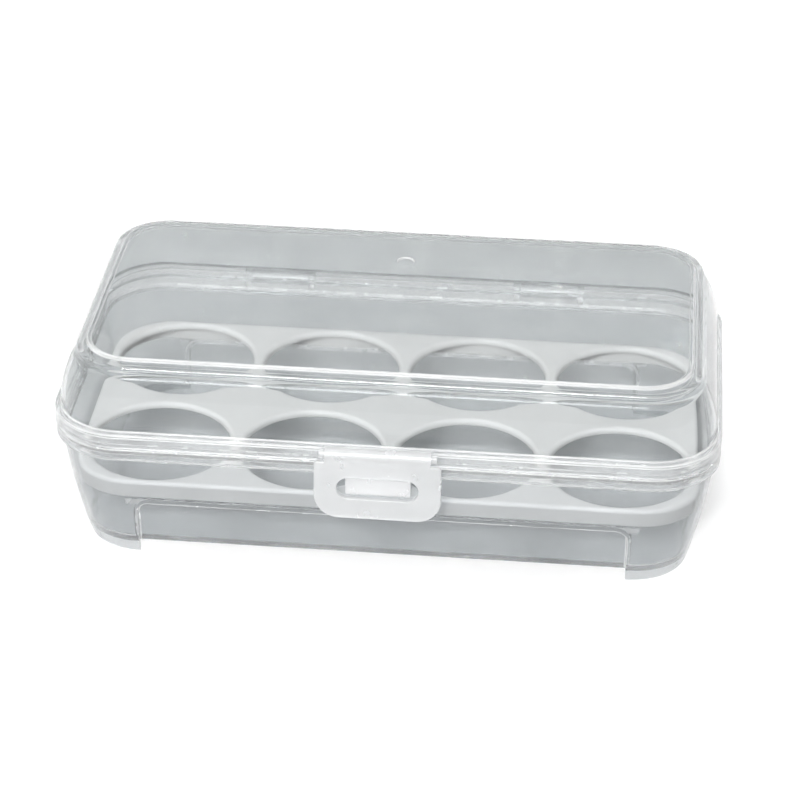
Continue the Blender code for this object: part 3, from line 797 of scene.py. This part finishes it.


# Name, pale and deep colour, range of roughness, transmission
# the edge colours below are painted sheen, paler tints where a wall is seen edge-on
CLEAR = plastic(
    "clear_plastic", (0.69, 0.71, 0.715), (0.66, 0.68, 0.685), (0.025, 0.045), 1.0,
    wave=0.010, grain=0.004, shadow=(0.98, 0.982, 0.982), hairlines=0.02, edge=(0.91, 0.92, 0.92))
# painted highlight: paler, less clear plastic on the narrow fillet faces draws bright lines along the
# edges
CLEAR_PAINTED_HIGHLIGHT = plastic(
    "clear_plastic_painted_highlight", (0.96, 0.965, 0.965), (0.92, 0.93, 0.93), (0.15, 0.25), 0.70,
    wave=0.010, grain=0.01, shadow=(0.98, 0.982, 0.982))
FROSTED = plastic(
    "frosted_plastic", (0.69, 0.71, 0.72), (0.66, 0.68, 0.69), (0.08, 0.12), 0.95,
    wave=0.012, grain=0.02, shadow=(0.96, 0.962, 0.965), hairlines=0.03, edge=(0.94, 0.945, 0.95))
# painted highlight: paler, less clear plastic on the narrow fillet faces draws bright lines along the
# edges
FROSTED_PAINTED_HIGHLIGHT = plastic(
    "frosted_plastic_painted_highlight", (0.90, 0.905, 0.91), (0.86, 0.87, 0.875), (0.20, 0.30), 0.60,
    wave=0.010, grain=0.02, shadow=(0.96, 0.962, 0.965))
# painted light: a paler tint makes the band where base and lid meet look bright; its rougher, less clear
# finish is the band's own
RIM = plastic(
    "rim_plastic_painted_light", (0.84, 0.85, 0.855), (0.81, 0.82, 0.825), (0.12, 0.18), 0.88,
    wave=0.010, grain=0.01, shadow=(0.97, 0.972, 0.972))
THICK = plastic(
    "frosted_plastic_thick", (0.79, 0.795, 0.80), (0.76, 0.765, 0.77), (0.20, 0.30), 0.35,
    wave=0.010, grain=0.02, shadow=(0.80, 0.81, 0.82))
WHITE = plastic(
    "white_plastic", (0.94, 0.94, 0.938), (0.92, 0.92, 0.917), (0.44, 0.56), 0.0,
    wave=0.06, grain=0.05)
MILKY = plastic(
    "milky_plastic", (0.80, 0.805, 0.81), (0.77, 0.78, 0.785), (0.20, 0.28), 0.50,
    wave=0.010, grain=0.01, shadow=(0.75, 0.76, 0.77))

place_piece(build_lid(), "lid", "lid", "clear_plastic", CLEAR, CLEAR_PAINTED_HIGHLIGHT, RIM)
place_piece(build_base(), "base", "base", "frosted_plastic", FROSTED, FROSTED_PAINTED_HIGHLIGHT, RIM)
place_piece(make_object("catch_lug", catch_lug()), "base", "base", "frosted_plastic", THICK)
place_piece(build_tray(), "tray", "egg_tray", "white_plastic", WHITE)
place_piece(build_buckle(), "buckle", "buckle", "milky_plastic", MILKY)


# Stage, light and camera

FLOOR_HALF_SIZE = 6.0
FLOOR_LIT_LEVEL = 0.8
FLOOR_SHOWN_LEVEL = 0.93
FLOOR_GLOW = 0.13
FILL_LEVEL = 0.04
MIRRORED_LEVEL = 0.60
BACKGROUND_LEVEL = 1.0
BOX_MIDDLE = (0, 0, 0.035)
CAMERA_PLACE = Vector((0.07748, -0.81977, 0.52104))
CAMERA_YAW = math.radians(5.33)
CAMERA_PITCH = math.radians(30.68)
CAMERA_ROLL = math.radians(0.5)
CAMERA_LENS = 126.53


def make_floor():
    """Paper that looks white in the picture, and lights the box a little less than it looks."""
    bm = bmesh.new()
    size = FLOOR_HALF_SIZE
    corners = ((-size, -size), (size, -size), (size, size), (-size, size))
    bm.faces.new([bm.verts.new((x, y, 0)) for x, y in corners])
    mesh = bpy.data.meshes.new("floor")
    bm.to_mesh(mesh)
    bm.free()
    floor = bpy.data.objects.new("floor", mesh)
    bpy.context.scene.collection.objects.link(floor)
    material = bpy.data.materials.new("floor_paper")
    material.use_nodes = True
    tree = material.node_tree
    tree.nodes.clear()
    output = tree.nodes.new("ShaderNodeOutputMaterial")
    lit = add_node(tree, "ShaderNodeBsdfDiffuse", Color=(*[FLOOR_LIT_LEVEL] * 3, 1))
    shown = add_node(tree, "ShaderNodeBsdfDiffuse", Color=(*[FLOOR_SHOWN_LEVEL] * 3, 1))
    glow = add_node(tree, "ShaderNodeEmission", Strength=FLOOR_GLOW)
    both = tree.nodes.new("ShaderNodeAddShader")
    tree.links.new(shown.outputs[0], both.inputs[0])
    tree.links.new(glow.outputs[0], both.inputs[1])
    seen = ray_share(tree, "Is Camera Ray", "Is Glossy Ray", "Is Transmission Ray")
    blend = mix_shaders(tree, seen, lit, both)
    tree.links.new(blend.outputs["Shader"], output.inputs["Surface"])
    mesh.materials.append(material)


def make_world():
    """White behind the object and through it, pale grey in reflections, next to nothing as light."""
    world = bpy.data.worlds.new("studio")
    bpy.context.scene.world = world
    world.use_nodes = True
    tree = world.node_tree
    tree.nodes.clear()
    output = tree.nodes.new("ShaderNodeOutputWorld")
    fill, mirrored, behind = [
        add_node(tree, "ShaderNodeBackground", Color=(1, 1, 1, 1), Strength=level)
        for level in (FILL_LEVEL, MIRRORED_LEVEL, BACKGROUND_LEVEL)]
    blend = mix_shaders(tree, ray_share(tree, "Is Glossy Ray"), fill, mirrored)
    seen = ray_share(tree, "Is Camera Ray", "Is Transmission Ray")
    blend = mix_shaders(tree, seen, blend, behind)
    tree.links.new(blend.outputs["Shader"], output.inputs["Surface"])


def aim_lamp(name, light, place, target):
    lamp = bpy.data.objects.new(name, light)
    bpy.context.scene.collection.objects.link(lamp)
    lamp.location = place
    direction = Vector(target) - Vector(place)
    lamp.rotation_euler = direction.to_track_quat("-Z", "Y").to_euler()


def sky_lamp(name, place, strength, angle, mirrored):
    """Distant lamp, so that the floor is as bright far from the box as near it."""
    light = bpy.data.lights.new(name, "SUN")
    light.energy = strength
    light.angle = math.radians(angle)
    light.cycles.use_multiple_importance_sampling = mirrored
    aim_lamp(name, light, place, (0, 0, 0))


def softbox(name, place, width, height, power):
    light = bpy.data.lights.new(name, "AREA")
    light.shape = "RECTANGLE"
    light.size = width
    light.size_y = height
    light.energy = power
    aim_lamp(name, light, place, BOX_MIDDLE)


def make_camera():
    """Camera as fitted to the photo."""
    data = bpy.data.cameras.new("camera")
    data.lens = CAMERA_LENS
    data.sensor_width = 36.0
    data.clip_start = 0.05
    data.clip_end = 50.0
    camera = bpy.data.objects.new("camera", data)
    bpy.context.scene.collection.objects.link(camera)
    level = math.cos(CAMERA_PITCH)
    back = Vector((math.sin(CAMERA_YAW) * level, -math.cos(CAMERA_YAW) * level,
                   math.sin(CAMERA_PITCH)))
    right = (-back).cross(Vector((0, 0, 1))).normalized()
    up = right.cross(-back)
    across = right * math.cos(CAMERA_ROLL) + up * math.sin(CAMERA_ROLL)
    upward = up * math.cos(CAMERA_ROLL) - right * math.sin(CAMERA_ROLL)
    turn = Matrix((across, upward, back)).transposed()
    camera.matrix_world = Matrix.Translation(CAMERA_PLACE) @ turn.to_4x4()
    bpy.context.scene.camera = camera


make_floor()
make_world()
sky_lamp("key", (-0.12, -1.0, 0.76), strength=2.7, angle=18, mirrored=True)
sky_lamp("dome", (0, 0, 1), strength=1.45, angle=170, mirrored=False)
softbox("left", (-1.1, -0.1, 0.7), width=0.5, height=0.8, power=2.8)
make_camera()

# A lower clamp darkens all that is seen through the plastic
scene = bpy.context.scene
scene.cycles.sample_clamp_indirect = 12.0
scene.cycles.caustics_reflective = False
scene.cycles.caustics_refractive = False
scene.cycles.max_bounces = 96
scene.cycles.glossy_bounces = 64
scene.cycles.transmission_bounces = 64
scene.cycles.transparent_max_bounces = 24
scene.view_settings.view_transform = "Standard"
